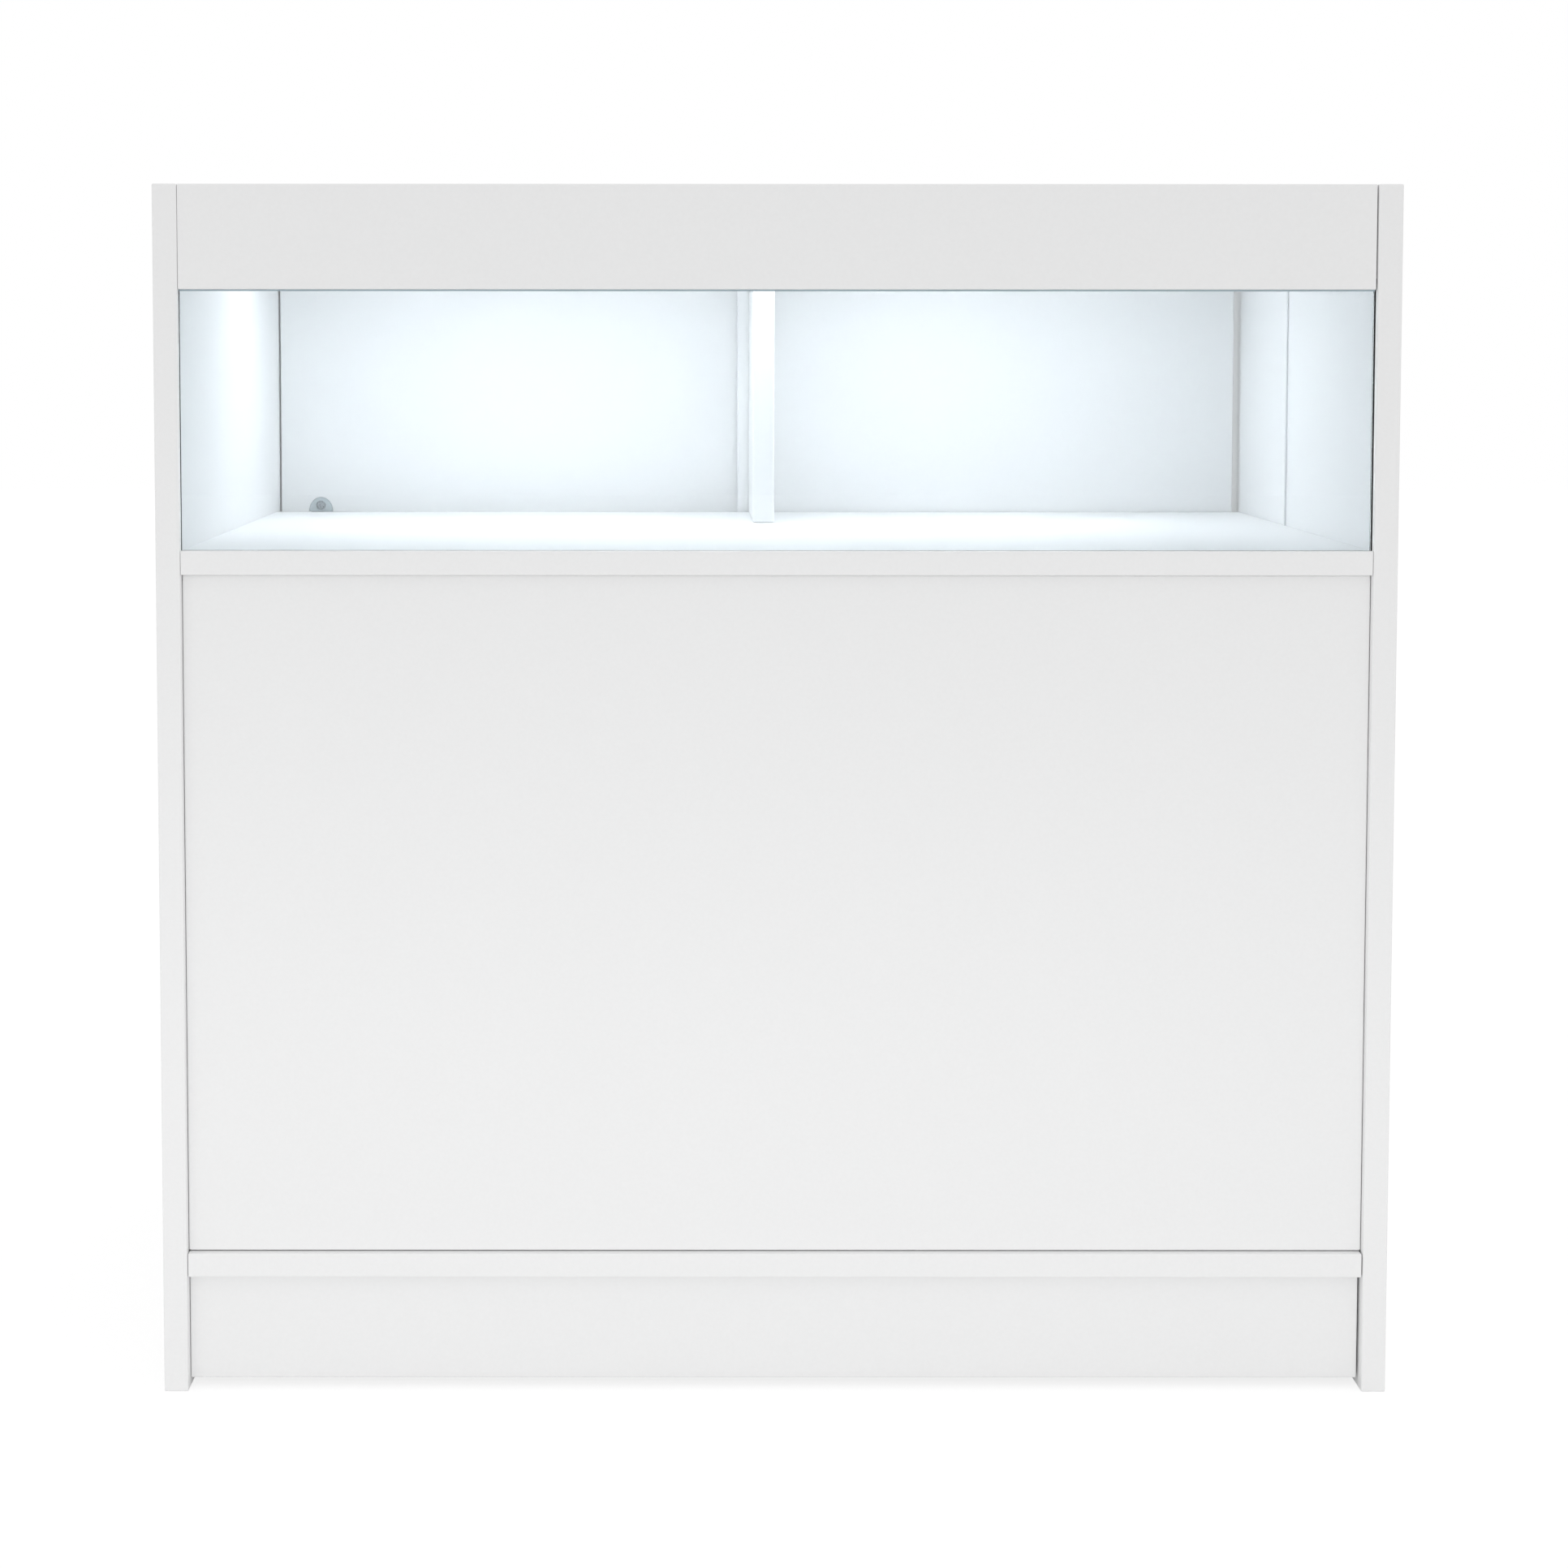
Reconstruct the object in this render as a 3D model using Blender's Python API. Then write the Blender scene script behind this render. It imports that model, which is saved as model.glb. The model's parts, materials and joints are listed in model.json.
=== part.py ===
"""A white shop counter with a lit display case above open storage.

Units are metres. X runs to the customer's right, Y away from the customer and Z up. The origin is on the
floor under the middle of the counter. The customer stands at -Y, and the sliding doors and the storage open
at +Y. The doors are modelled as the photograph shows them, a few millimetres short of the side panels.
"""

import math

import bmesh
import bpy
from mathutils import Matrix, Vector

# Overall size and board stock
WIDTH = 0.914
DEPTH = 0.500
HEIGHT = 0.900
BOARD = 0.018
EDGE_ROUND = 0.0010

# Clearances: faces that touch, and the seams at the ends of the cross boards, some of them a little short
SEAT = 0.0003
SEAM_LEFT = 0.0003
SEAM_RIGHT = 0.0004
TOP_SEAM_RIGHT = 0.0011
FLOOR_SEAM_RIGHT = 0.0007
PLINTH_SEAM_RIGHT = 0.0016

# Heights: the fascia, the room between deck and top board, and the levels above the floor
FASCIA_HEIGHT = 0.0769
DISPLAY_HEIGHT = 0.2508
FLOOR_BOARD_LEVEL = 0.1048
PLINTH_LIFT = 0.0073
PANEL_SLOT = 0.0007

# Setbacks behind the front edges of the side panels, and in front of their rear edges
FASCIA_SETBACK = 0.0012
RAIL_SETBACK = 0.0008
PANEL_SETBACK = 0.0065
PLINTH_SETBACK = 0.0085
REAR_SETBACK = 0.0008
REAR_PLINTH_SETBACK = 0.030
DIVIDER_SETBACK = 0.004

# Front glass, in grooves all round. It stands to the left, so that its right edge shows beside its groove
GLASS = 0.005
GLASS_SETBACK = 0.0056
GLASS_REACH_LEFT = 0.0020
GLASS_GAP_RIGHT = 0.0010
GLASS_PLAY = 0.0003
SILL_GROOVE = 0.0030
SIDE_GROOVE = 0.0040
HEAD_GROOVE = 0.0060
HEAD_ROOM = 0.0025

# Channel seal on the glass's head, with lips that show below the fascia
SEAL_WALL = 0.0008
SEAL_SHOW = 0.0011

# Post between the two halves of the display
POST_DEPTH = 0.1486

# Sliding doors on two lines, the near one for the right door and the far one for the left door
DOOR_OVERLAP = 0.024
DOOR_BOARD = 0.015
DOOR_ROUND = 0.0008
DOOR_FRONT_GAP = 0.0015
DOOR_GAP = 0.0030
DOOR_REAR_ROOM = 0.0085
DOOR_LIFT = 0.0015
LEFT_DOOR_AJAR = 0.0016
RIGHT_DOOR_AJAR = 0.0071

# Twin-groove tracks: the lower one lies in a rebate of the deck, the upper one hangs under the top board
TRACK_LIP = 0.0020
TRACK_WEB = 0.0021
TRACK_DROP = 0.0031
GROOVE_WIDTH = 0.0042
GROOVE_DEPTH = 0.0055
TONGUE_PLAY = 0.0004
TOP_TONGUE_REACH = 0.0036
LIFT_PLAY = 0.0003

# Half-oval glide shoes let into the doors' edges, each with a raised collar round its screw
SHOE_WIDTH = 0.0212
SHOE_HEIGHT = 0.0137
SHOE_FOOT = 0.0011
SHOE_HEEL = 0.0004
SHOE_PROUD = 0.0006
SHOE_OUTER_INSET = 0.0362
SHOE_INNER_INSET = 0.0150
SHOE_POCKET_PLAY = 0.0003
COLLAR_RADIUS = 0.0053
COLLAR_RISE = 0.0003
TONGUE_LENGTH = 0.0204
TONGUE_ROOT = 0.0020

# Raised countersunk cross-head screws, sunk in the shoes
SCREW_LEVEL = 0.0064
SCREW_HEAD_RADIUS = 0.0040
SCREW_HEAD_DEPTH = 0.0022
SCREW_DOME = 0.0006
SCREW_RIM = 0.0003
SCREW_SINK = 0.0001
SCREW_RECESS_PLAY = 0.0004
SCREW_CONE_DROP = 0.0001
SCREW_RADIUS = 0.0015
SCREW_BITE = 0.0030
SCREW_TIP = 0.0015
SCREW_PLAY = 0.0003
CROSS_SPAN = 0.0050
CROSS_BAR = 0.0011
CROSS_DEPTH = 0.0021
CROSS_TAPER = 0.45
FIRST_SCREW_TURN = math.radians(13.5)
SCREW_TURN_STEP = math.radians(37)

# Finger pulls let into the doors' rear faces
PULL_RADIUS = 0.0160
PULL_FLANGE = 0.0190
PULL_DEPTH = 0.0105
PULL_WALL = 0.0010
PULL_INSET = 0.050

# LED bar under the top board before the post, and its lead down the right-hand wall
LED_TO_POST = 0.0306
LED_INSET_LEFT = 0.025
LED_INSET_RIGHT = 0.085
LED_WIDTH = 0.0172
LED_HEIGHT = 0.0080
LED_WALL = 0.0012
LED_STRIP_WIDTH = 0.0100
LED_STRIP = 0.0012
LED_CROWN = 0.0020
LED_CAP = 0.0016
DIFFUSER_LEG = 0.0030
LEAD_RADIUS = 0.0008
LEAD_PLAY = 0.0005
LEAD_BEND = 0.0080
LEAD_TAIL = 0.0080

# Socket for the low-voltage supply, under the deck
INLET_WIDTH = 0.0140
INLET_LENGTH = 0.0300
INLET_HEIGHT = 0.0120
INLET_SET = 0.0200
SOCKET_RADIUS = 0.0033
SOCKET_DEPTH = 0.0110

# Adjustable shelves on pins in rows of holes
SHELF_HOLE_RADIUS = 0.0025
SHELF_HOLE_PITCH = 0.032
SHELF_HOLE_ROWS = 5
SHELF_HOLE_FRONT = 0.050
SHELF_HOLE_REAR = 0.075
SHELF_END_PLAY = 0.0006
SHELF_SETBACK = 0.030
PIN_PLAY = 0.0002
PIN_END_GAP = 0.0012
PIN_HOLE_ROOM = 0.0022
PIN_COLLAR = 0.0010
PIN_COLLAR_RADIUS = 0.0042
PIN_STUD_RADIUS = 0.0030
PIN_STUD = 0.0090

# Corner blocks that tie the plinths to the bottom board
BLOCK_LENGTH = 0.032
BLOCK_SIZE = 0.022
BLOCK_CHAMFER = 0.012
BLOCK_HOLE = 0.0022
BLOCK_INSET = 0.159

# Facets round the turned pieces
SIDES = 20
SMALL_SIDES = 12
PULL_SIDES = 28
ARC_STEPS = 3
OVAL_STEPS = 16

# Places worked out from the sizes above
SIDE_X = WIDTH / 2
INNER_X = SIDE_X - BOARD
FRONT_Y = -DEPTH / 2
REAR_Y = DEPTH / 2
CROSS_REAR_Y = REAR_Y - REAR_SETBACK
TOP_UNDERSIDE = HEIGHT - BOARD
FASCIA_BOTTOM = HEIGHT - FASCIA_HEIGHT
DECK_LEVEL = TOP_UNDERSIDE - DISPLAY_HEIGHT
DECK_BOTTOM = DECK_LEVEL - BOARD
FLOOR_BOARD_BOTTOM = FLOOR_BOARD_LEVEL - BOARD
PANEL_REAR_Y = FRONT_Y + PANEL_SETBACK + BOARD
GLASS_Y = FRONT_Y + GLASS_SETBACK
GLASS_FOOT = DECK_LEVEL - SILL_GROOVE + SEAT
GLASS_HEAD = FASCIA_BOTTOM + HEAD_GROOVE - HEAD_ROOM
DOOR_BAY = DOOR_FRONT_GAP + 2 * DOOR_BOARD + DOOR_GAP + DOOR_REAR_ROOM
DECK_REAR_Y = REAR_Y - DOOR_BAY
POST_FRONT_Y = DECK_REAR_Y - POST_DEPTH
NEAR_DOOR_Y = DECK_REAR_Y + DOOR_FRONT_GAP
FAR_DOOR_Y = NEAR_DOOR_Y + DOOR_BOARD + DOOR_GAP
DOOR_HEAD_GAP = GROOVE_DEPTH + LIFT_PLAY
TOP_GROOVE_DEPTH = TOP_TONGUE_REACH + DOOR_HEAD_GAP + LIFT_PLAY
TRACK_TOP = DECK_LEVEL - TRACK_DROP
TRACK_BOTTOM = TRACK_TOP - GROOVE_DEPTH - TRACK_WEB
TRACK_FRONT_Y = DECK_REAR_Y + SEAT
TRACK_REAR_Y = FAR_DOOR_Y + DOOR_BOARD + TRACK_LIP
GROOVE_YS = (NEAR_DOOR_Y + DOOR_BOARD / 2, FAR_DOOR_Y + DOOR_BOARD / 2)
TOP_TRACK_TOP = TOP_UNDERSIDE - SEAT
TOP_TRACK_BOTTOM = TOP_TRACK_TOP - TRACK_WEB - TOP_GROOVE_DEPTH
DOOR_BOTTOM = TRACK_TOP + DOOR_LIFT
DOOR_TOP = TOP_TRACK_BOTTOM - DOOR_HEAD_GAP
DOOR_HEIGHT = DOOR_TOP - DOOR_BOTTOM
DOOR_WIDTH = INNER_X + DOOR_OVERLAP / 2
LEFT_DOOR_X = -INNER_X + LEFT_DOOR_AJAR + DOOR_WIDTH / 2
RIGHT_DOOR_X = INNER_X - RIGHT_DOOR_AJAR - DOOR_WIDTH / 2
SHOE_DEPTH = (DOOR_BOARD + GROOVE_WIDTH) / 2 + SHOE_HEEL
LED_Y = POST_FRONT_Y - LED_TO_POST
LED_LEFT = -INNER_X + LED_INSET_LEFT
LED_RIGHT = INNER_X - LED_INSET_RIGHT
SHELF_HOLE_LEVEL = (FLOOR_BOARD_LEVEL + DECK_BOTTOM) / 2
SHELF_END_GAP = PIN_COLLAR + SHELF_END_PLAY
PIN_PEG = BOARD / 2 - PIN_END_GAP
SHELF_HOLE_DEPTH = PIN_PEG + PIN_HOLE_ROOM
FACING_REAR = (-math.pi / 2, 0, 0)


def clear_scene():
    for old in list(bpy.data.objects):
        bpy.data.objects.remove(old, do_unlink=True)


def make_material(name, colour, roughness, metallic=0.0, transmission=0.0, emission=0.0):
    material = bpy.data.materials.new(name)
    material.use_nodes = True
    material.diffuse_color = (*colour, 1.0)
    shader = material.node_tree.nodes["Principled BSDF"]
    shader.inputs["Base Color"].default_value = (*colour, 1.0)
    shader.inputs["Roughness"].default_value = roughness
    shader.inputs["Metallic"].default_value = metallic
    shader.inputs["Transmission Weight"].default_value = transmission
    shader.inputs["Emission Color"].default_value = (*colour, 1.0)
    shader.inputs["Emission Strength"].default_value = emission
    return material


def make_body(name, place):
    """An empty that carries the pieces of one rigid body."""
    body = bpy.data.objects.new(name, None)
    bpy.context.collection.objects.link(body)
    body.location = place
    bpy.context.view_layer.update()
    return body


def place_object(name, mesh, place, material, body, turn=(0, 0, 0)):
    piece = bpy.data.objects.new(name, mesh)
    bpy.context.collection.objects.link(piece)
    piece.parent = body
    piece.location = [at - origin for at, origin in zip(place, body.location)]
    piece.rotation_euler = turn
    if material and material.name not in mesh.materials:
        mesh.materials.append(material)
    return piece


def mesh_from(name, solid):
    bmesh.ops.recalc_face_normals(solid, faces=solid.faces)
    mesh = bpy.data.meshes.new(name)
    solid.to_mesh(mesh)
    solid.free()
    return mesh


def add_box(solid, low, high):
    size = [top - bottom for bottom, top in zip(low, high)]
    middle = [(top + bottom) / 2 for bottom, top in zip(low, high)]
    matrix = Matrix.Translation(middle) @ Matrix.Diagonal((*size, 1))
    bmesh.ops.create_cube(solid, size=1, matrix=matrix)


def add_prism(solid, outline, start, end, to_point):
    """Extrudes a closed outline of (u, v) points from start to end. to_point(u, v, w) gives the place."""
    first = [solid.verts.new(to_point(u, v, start)) for u, v in outline]
    last = [solid.verts.new(to_point(u, v, end)) for u, v in outline]
    count = len(outline)
    solid.faces.new(first)
    solid.faces.new(list(reversed(last)))
    for index in range(count):
        after = (index + 1) % count
        solid.faces.new((first[index], last[index], last[after], first[after]))


def along_x(u, v, w):
    """Outline in Y and Z, extruded along X."""
    return (w, u, v)


def along_y(u, v, w):
    """Outline in X and Z, extruded along Y."""
    return (u, w, v)


def along_z(u, v, w):
    """Outline in X and Y, extruded along Z."""
    return (u, v, w)


def add_turned(solid, profile, sides, matrix=Matrix()):
    """Turns a profile of (radius, height) points about Z. It starts and ends on the axis."""
    rings = []
    for radius, level in profile:
        if radius == 0:
            rings.append([solid.verts.new(matrix @ Matrix.Translation((0, 0, level)).to_translation())])
            continue
        ring = []
        for step in range(sides):
            angle = 2 * math.pi * (step + 0.5) / sides
            point = Matrix.Translation((radius * math.cos(angle), radius * math.sin(angle), level))
            ring.append(solid.verts.new(matrix @ point.to_translation()))
        rings.append(ring)
    for lower, upper in zip(rings, rings[1:]):
        for step in range(sides):
            after = (step + 1) % sides
            if len(lower) == 1:
                solid.faces.new((lower[0], upper[after], upper[step]))
            elif len(upper) == 1:
                solid.faces.new((lower[step], lower[after], upper[0]))
            else:
                solid.faces.new((lower[step], lower[after], upper[after], upper[step]))


def rod(radius, high, low=None):
    """Profile of a plain rod, for add_turned. It is as long below zero as above it unless low is given."""
    low = -high if low is None else low
    return [(0, low), (radius, low), (radius, high), (0, high)]


def arc(centre, radius, start, end, steps=ARC_STEPS):
    """Points on an arc from one angle in degrees to another."""
    points = []
    for step in range(steps + 1):
        angle = math.radians(start + (end - start) * step / steps)
        points.append((centre[0] + radius * math.cos(angle), centre[1] + radius * math.sin(angle)))
    return points


def round_edges(piece, radius):
    bevel = piece.modifiers.new("round_edges", "BEVEL")
    bevel.width = radius
    bevel.segments = 2
    bevel.limit_method = "ANGLE"
    return bevel


def cut(piece, cutter_mesh, place, turn=(0, 0, 0), label="cut"):
    """Takes a cutter's shape out of a piece. The cutter moves with the piece's body."""
    cutter = place_object(f"{label}_{piece.name}", cutter_mesh, place, None, piece.parent, turn)
    cutter.hide_render = True
    cutter.display_type = "WIRE"
    boolean = piece.modifiers.new(label, "BOOLEAN")
    boolean.operation = "DIFFERENCE"
    boolean.object = cutter
    return cutter


def smooth(piece, angle=40):
    piece.data.shade_smooth()
    piece.data.set_sharp_from_angle(angle=math.radians(angle))


def board(name, low, high, material, body, radius=EDGE_ROUND):
    """A panel with softly rounded banded edges, its origin in its middle."""
    middle = [(top + bottom) / 2 for bottom, top in zip(low, high)]
    half = [(top - bottom) / 2 for bottom, top in zip(low, high)]
    solid = bmesh.new()
    add_box(solid, [-side for side in half], half)
    piece = place_object(name, mesh_from(name, solid), middle, material, body)
    round_edges(piece, radius)
    return piece


def extrusion(name, outline, start, end, place, material, body):
    """A section in Y and Z, drawn about place, that runs along X from start to end."""
    solid = bmesh.new()
    local = [(y - place[1], z - place[2]) for y, z in outline]
    add_prism(solid, local, start - place[0], end - place[0], along_x)
    piece = place_object(name, mesh_from(name, solid), place, material, body)
    smooth(piece)
    return piece


def shelf_hole_places():
    """(y, z) of each shelf-pin hole, the two columns in rows about the middle level."""
    columns = (PANEL_REAR_Y + SHELF_HOLE_FRONT, REAR_Y - SHELF_HOLE_REAR)
    middle = (SHELF_HOLE_ROWS - 1) / 2
    rows = [SHELF_HOLE_LEVEL + (row - middle) * SHELF_HOLE_PITCH for row in range(SHELF_HOLE_ROWS)]
    return [(y, z) for y in columns for z in rows]


def shelf_hole_cutter(name, length):
    """Rods along X, centred on x = 0, one in each shelf-pin hole."""
    solid = bmesh.new()
    lay_along_x = Matrix.Rotation(math.pi / 2, 4, "Y")
    for y, z in shelf_hole_places():
        place = Matrix.Translation((0, y, z)) @ lay_along_x
        add_turned(solid, rod(SHELF_HOLE_RADIUS, length / 2), SMALL_SIDES, place)
    return mesh_from(name, solid)


def make_side_panels(material, body):
    for name, side in (("side_panel_left", -1), ("side_panel_right", 1)):
        low_x, high_x = sorted((side * INNER_X, side * SIDE_X))
        panel = board(name, (low_x, FRONT_Y, 0), (high_x, REAR_Y, HEIGHT), material, body)
        holes = shelf_hole_cutter(f"{name}_holes", 2 * SHELF_HOLE_DEPTH)
        cut(panel, holes, (side * INNER_X, 0, 0), label="pin_holes")
        groove = bmesh.new()
        groove_low = (-SIDE_GROOVE, GLASS_Y - GLASS_PLAY, DECK_LEVEL - SILL_GROOVE)
        groove_high = (SIDE_GROOVE, GLASS_Y + GLASS + GLASS_PLAY, FASCIA_BOTTOM + HEAD_GROOVE)
        add_box(groove, groove_low, groove_high)
        cut(panel, mesh_from(f"{name}_groove", groove), (side * INNER_X, 0, 0), label="glass_groove")


def cross_board(name, y_range, z_range, material, body, seam_right=SEAM_RIGHT):
    """A board that runs between the side panels."""
    low = (-INNER_X + SEAM_LEFT, y_range[0], z_range[0])
    high = (INNER_X - seam_right, y_range[1], z_range[1])
    return board(name, low, high, material, body)


def make_top(material, body):
    """Top board and fascia. The fascia's lower edge has the groove for the glass's head and its seal."""
    front = FRONT_Y + FASCIA_SETBACK
    rear = front + BOARD
    top_levels = (TOP_UNDERSIDE, HEIGHT)
    cross_board("top_board", (rear + SEAT, CROSS_REAR_Y), top_levels, material, body, TOP_SEAM_RIGHT)
    seal_room = SEAT + SEAL_WALL + SEAT
    groove_front = GLASS_Y - seal_room
    groove_rear = GLASS_Y + GLASS + seal_room
    round_ = EDGE_ROUND
    outline = arc((front + round_, HEIGHT - round_), round_, 180, 90)
    outline += arc((rear - round_, HEIGHT - round_), round_, 90, 0)
    outline += arc((rear - round_, FASCIA_BOTTOM + round_), round_, 0, -90)
    outline += [(groove_rear, FASCIA_BOTTOM), (groove_rear, FASCIA_BOTTOM + HEAD_GROOVE)]
    outline += [(groove_front, FASCIA_BOTTOM + HEAD_GROOVE), (groove_front, FASCIA_BOTTOM)]
    outline += arc((front + round_, FASCIA_BOTTOM + round_), round_, 270, 180)
    place = (0, front + BOARD / 2, HEIGHT - FASCIA_HEIGHT / 2)
    ends = (-INNER_X + SEAM_LEFT, INNER_X - TOP_SEAM_RIGHT)
    extrusion("fascia", outline, *ends, place, material, body)


def make_deck(material, body):
    """Display deck: a groove holds the glass's foot, a rebate at the rear takes the lower door track."""
    front = FRONT_Y + RAIL_SETBACK
    groove_front = GLASS_Y - GLASS_PLAY
    groove_rear = GLASS_Y + GLASS + GLASS_PLAY
    round_ = EDGE_ROUND
    outline = arc((front + round_, DECK_LEVEL - round_), round_, 180, 90)
    outline += [(groove_front, DECK_LEVEL), (groove_front, DECK_LEVEL - SILL_GROOVE)]
    outline += [(groove_rear, DECK_LEVEL - SILL_GROOVE), (groove_rear, DECK_LEVEL)]
    rebate_floor = TRACK_BOTTOM - SEAT
    outline += [(DECK_REAR_Y, DECK_LEVEL), (DECK_REAR_Y, rebate_floor)]
    outline += [(CROSS_REAR_Y, rebate_floor), (CROSS_REAR_Y, DECK_BOTTOM)]
    outline += arc((front + round_, DECK_BOTTOM + round_), round_, 270, 180)
    ends = (-INNER_X + SEAM_LEFT, INNER_X - SEAM_RIGHT)
    deck = extrusion("display_deck", outline, *ends, (0, 0, DECK_LEVEL), material, body)
    notch = bmesh.new()
    add_turned(notch, rod(LEAD_RADIUS + LEAD_PLAY, BOARD), SMALL_SIDES)
    notch_place = (lead_wall_x(), LED_Y, DECK_LEVEL - BOARD / 2)
    cut(deck, mesh_from("lead_notch", notch), notch_place, label="lead_notch")
    post_low = (-BOARD / 2, POST_FRONT_Y, DECK_LEVEL + SEAT)
    post_high = (BOARD / 2, DECK_REAR_Y - SEAT, TOP_UNDERSIDE - SEAT)
    board("display_post", post_low, post_high, material, body)


def make_lower_carcass(material, body):
    floor_levels = (FLOOR_BOARD_BOTTOM, FLOOR_BOARD_LEVEL)
    floor_range = (FRONT_Y + RAIL_SETBACK, CROSS_REAR_Y)
    cross_board("bottom_board", floor_range, floor_levels, material, body, FLOOR_SEAM_RIGHT)
    panel_levels = (FLOOR_BOARD_LEVEL + PANEL_SLOT, DECK_BOTTOM - SEAT)
    cross_board("front_panel", (FRONT_Y + PANEL_SETBACK, PANEL_REAR_Y), panel_levels, material, body)
    plinth_levels = (PLINTH_LIFT, FLOOR_BOARD_BOTTOM - SEAT)
    front_y = FRONT_Y + PLINTH_SETBACK
    rear_y = REAR_Y - REAR_PLINTH_SETBACK
    for name, low_y in (("front_plinth", front_y), ("rear_plinth", rear_y - BOARD)):
        cross_board(name, (low_y, low_y + BOARD), plinth_levels, material, body, PLINTH_SEAM_RIGHT)
    low = (-BOARD / 2, PANEL_REAR_Y + SEAT, FLOOR_BOARD_LEVEL + SEAT)
    high = (BOARD / 2, REAR_Y - DIVIDER_SETBACK, DECK_BOTTOM - SEAT)
    divider = board("storage_divider", low, high, material, body)
    cut(divider, shelf_hole_cutter("divider_holes", 2 * BOARD), (0, 0, 0), label="pin_holes")


def make_corner_blocks(material, body):
    """Blocks in the corners under the bottom board, two behind the front plinth and two before the rear."""
    reach = BLOCK_SIZE
    chamfer_from = reach - BLOCK_CHAMFER
    outline = [(0, 0), (reach, 0), (reach, -chamfer_from), (chamfer_from, -reach), (0, -reach)]
    corners = (
        ("front", FRONT_Y + PLINTH_SETBACK + BOARD + SEAT, 1),
        ("rear", REAR_Y - REAR_PLINTH_SETBACK - BOARD - SEAT, -1),
    )
    top = FLOOR_BOARD_BOTTOM - SEAT
    for row, y, way in corners:
        for side, x in (("left", BLOCK_INSET - INNER_X), ("right", INNER_X - BLOCK_INSET)):
            name = f"plinth_block_{row}_{side}"
            solid = bmesh.new()
            facing_in = [(way * u, v) for u, v in outline]
            add_prism(solid, facing_in, -BLOCK_LENGTH / 2, BLOCK_LENGTH / 2, along_x)
            block = place_object(name, mesh_from(name, solid), (x, y, top), material, body)
            hole = bmesh.new()
            hole_at = chamfer_from / 2
            upright = Matrix.Translation((-BLOCK_LENGTH / 4, way * hole_at, 0))
            lay_along_y = Matrix.Rotation(math.pi / 2, 4, "X")
            level = Matrix.Translation((BLOCK_LENGTH / 4, 0, -hole_at)) @ lay_along_y
            add_turned(hole, rod(BLOCK_HOLE, 2 * reach), SMALL_SIDES, upright)
            add_turned(hole, rod(BLOCK_HOLE, 2 * reach), SMALL_SIDES, level)
            cut(block, mesh_from(f"{name}_holes", hole), (x, y, top), label="screw_holes")


def make_shelves(shelf_material, pin_material, body):
    """Two adjustable shelves, each on four pins in the middle row of holes."""
    underside = SHELF_HOLE_LEVEL + PIN_STUD_RADIUS + SEAT
    y_range = (PANEL_REAR_Y + SHELF_END_GAP, REAR_Y - SHELF_SETBACK)
    pin = pin_mesh()
    columns = (("front", PANEL_REAR_Y + SHELF_HOLE_FRONT), ("rear", REAR_Y - SHELF_HOLE_REAR))
    bays = (("left", -INNER_X, -BOARD / 2), ("right", BOARD / 2, INNER_X))
    for bay, low_x, high_x in bays:
        low = (low_x + SHELF_END_GAP, y_range[0], underside)
        high = (high_x - SHELF_END_GAP, y_range[1], underside + BOARD)
        board(f"storage_shelf_{bay}", low, high, shelf_material, body)
        for column, y in columns:
            for number, x, way in ((1, low_x, 1), (2, high_x, -1)):
                name = f"shelf_pin_{bay}_{column}_{number}"
                turn = (0, way * math.pi / 2, 0)
                pin_piece = place_object(name, pin, (x, y, SHELF_HOLE_LEVEL), pin_material, body, turn)
                smooth(pin_piece)


def pin_mesh():
    """A shelf pin about Z: peg below zero, in the board, then a collar and the stud under the shelf."""
    solid = bmesh.new()
    peg = SHELF_HOLE_RADIUS - PIN_PLAY
    profile = [
        (0, -PIN_PEG),
        (peg * 0.8, -PIN_PEG),
        (peg, -PIN_PEG + peg * 0.2),
        (peg, SEAT),
        (PIN_COLLAR_RADIUS, SEAT),
        (PIN_COLLAR_RADIUS, PIN_COLLAR),
        (PIN_STUD_RADIUS, PIN_COLLAR),
        (PIN_STUD_RADIUS, PIN_COLLAR + PIN_STUD),
        (0, PIN_COLLAR + PIN_STUD),
    ]
    add_turned(solid, profile, SMALL_SIDES)
    return mesh_from("shelf_pin", solid)


def make_glass(glass_material, seal_material, body):
    """Front glass, and the channel seal on its head in the fascia's groove."""
    low = (-INNER_X - GLASS_REACH_LEFT, GLASS_Y, GLASS_FOOT)
    high = (INNER_X - GLASS_GAP_RIGHT, GLASS_Y + GLASS, GLASS_HEAD)
    board("display_glass", low, high, glass_material, body, GLASS * 0.1)
    lip_foot = FASCIA_BOTTOM - SEAL_SHOW
    inner = (GLASS_Y - SEAT, GLASS_Y + GLASS + SEAT)
    outer = (inner[0] - SEAL_WALL, inner[1] + SEAL_WALL)
    roof = GLASS_HEAD + SEAT
    outline = [(outer[0], lip_foot), (outer[0], roof + SEAL_WALL), (outer[1], roof + SEAL_WALL)]
    outline += [(outer[1], lip_foot), (inner[1], lip_foot), (inner[1], roof)]
    outline += [(inner[0], roof), (inner[0], lip_foot)]
    ends = (-INNER_X + SEAM_LEFT, INNER_X - GLASS_GAP_RIGHT)
    extrusion("glass_seal", outline, *ends, (0, GLASS_Y, lip_foot), seal_material, body)


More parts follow.
